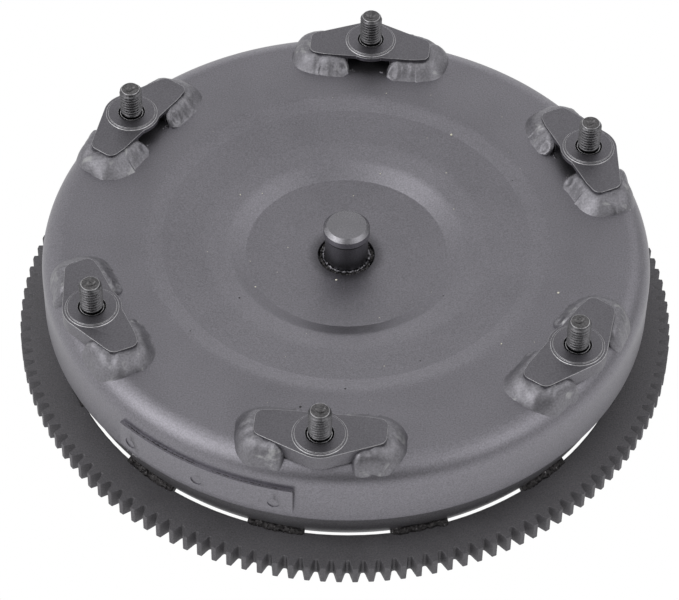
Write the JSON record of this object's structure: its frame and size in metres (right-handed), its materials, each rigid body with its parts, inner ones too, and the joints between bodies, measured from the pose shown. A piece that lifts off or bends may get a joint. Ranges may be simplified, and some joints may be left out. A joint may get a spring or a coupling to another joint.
{
  "type": "torque converter",
  "caption": "Lock-up torque converter with a dished front cover, weld-on stud lugs, centre pilot, starter ring gear and pump drive hub.",
  "frame": {"origin": "on the rotation axis, in the plane of the six drive pads where the drive plate bolts on", "axes": "+Z along the rotation axis towards the engine; the six studs are at 30 degrees from +X and every 60 degrees, so one is on +Y"},
  "size_m": [0.29, 0.29, 0.1312],
  "materials": {
    "shell_steel": "satin, lightly phosphated pressed steel",
    "weld_metal": "smooth weld metal",
    "gear_steel": "dark hardened steel",
    "stud_steel": "black oxide",
    "machined_steel": "turned or ground",
    "pressed_steel": "bare pressed sheet",
    "spring_steel": "oil tempered",
    "cast_aluminium": "die cast",
    "friction_paper": "paper-based wet friction lining",
    "bearing_plastic": "filled bearing plastic"
  },
  "bodies": {
    "housing": {"front_cover": "shell_steel", "pilot": "machined_steel", "mounting_lug_1": "shell_steel", "mounting_lug_2": "shell_steel", "mounting_lug_3": "shell_steel", "mounting_lug_4": "shell_steel", "mounting_lug_5": "shell_steel", "mounting_lug_6": "shell_steel", "drive_studs": "stud_steel", "lug_welds": "weld_metal", "balance_weight": "shell_steel", "closure_weld": "weld_metal", "ring_gear": "gear_steel", "ring_gear_welds": "weld_metal", "impeller_shell": "shell_steel", "impeller_hub": "machined_steel", "hub_weld": "weld_metal", "impeller_blades": "pressed_steel", "impeller_core_ring": "pressed_steel", "cover_thrust_washer": "bearing_plastic", "rear_thrust_race": "machined_steel"},
    "turbine": {"turbine_shell": "pressed_steel", "turbine_blades": "pressed_steel", "turbine_core_ring": "pressed_steel", "turbine_hub": "machined_steel", "turbine_rivets": "machined_steel", "piston_seal_ring": "bearing_plastic", "damper_driven_ring": "pressed_steel", "front_thrust_race": "machined_steel"},
    "damper": {"damper_springs": "spring_steel"},
    "piston": {"lockup_piston": "pressed_steel", "friction_lining": "friction_paper", "spring_retainer": "pressed_steel", "retainer_rivets": "machined_steel"},
    "stator": {"stator_wheel": "cast_aluminium", "clutch_outer_race": "machined_steel", "clutch_rollers": "machined_steel", "clutch_springs": "spring_steel", "clutch_rear_cap": "cast_aluminium", "clutch_front_cap": "cast_aluminium", "stator_snap_ring": "spring_steel"},
    "stator_race": {"clutch_inner_race": "machined_steel"},
    "rear_bearing": {"rear_needle_cage": "machined_steel", "rear_needle_rollers": "machined_steel"},
    "front_bearing": {"front_needle_cage": "machined_steel", "front_needle_rollers": "machined_steel"}
  },
  "joints": [
    {"name": "turbine_spin", "type": "hinge", "parent": "housing", "child": "turbine", "pos_m": [0, 0, -0.045], "axis": [0, 0, 1], "continuous": true},
    {"name": "damper_twist", "type": "hinge", "parent": "turbine", "child": "damper", "pos_m": [0, 0, -0.0254], "axis": [0, 0, 1], "range_deg": [-6, 6], "deforming": ["damper_springs"]},
    {"name": "lockup_apply", "type": "slide", "parent": "damper", "child": "piston", "axis": [0, 0, 1], "range_m": [0, 0.0008]},
    {"name": "stator_spin", "type": "hinge", "parent": "housing", "child": "stator", "pos_m": [0, 0, -0.048], "axis": [0, 0, 1], "continuous": true},
    {"name": "stator_race_spin", "type": "hinge", "parent": "stator", "child": "stator_race", "pos_m": [0, 0, -0.048], "axis": [0, 0, 1], "continuous": true},
    {"name": "rear_bearing_spin", "type": "hinge", "parent": "housing", "child": "rear_bearing", "pos_m": [0, 0, -0.05905], "axis": [0, 0, 1], "continuous": true},
    {"name": "front_bearing_spin", "type": "hinge", "parent": "housing", "child": "front_bearing", "pos_m": [0, 0, -0.03695], "axis": [0, 0, 1], "continuous": true}
  ],
  "couplings": [
    {"joint": "rear_bearing_spin", "follows": "stator_spin", "ratio": 0.5},
    {"joint": "front_bearing_spin", "follows": "turbine_spin", "ratio": 0.5}
  ]
}
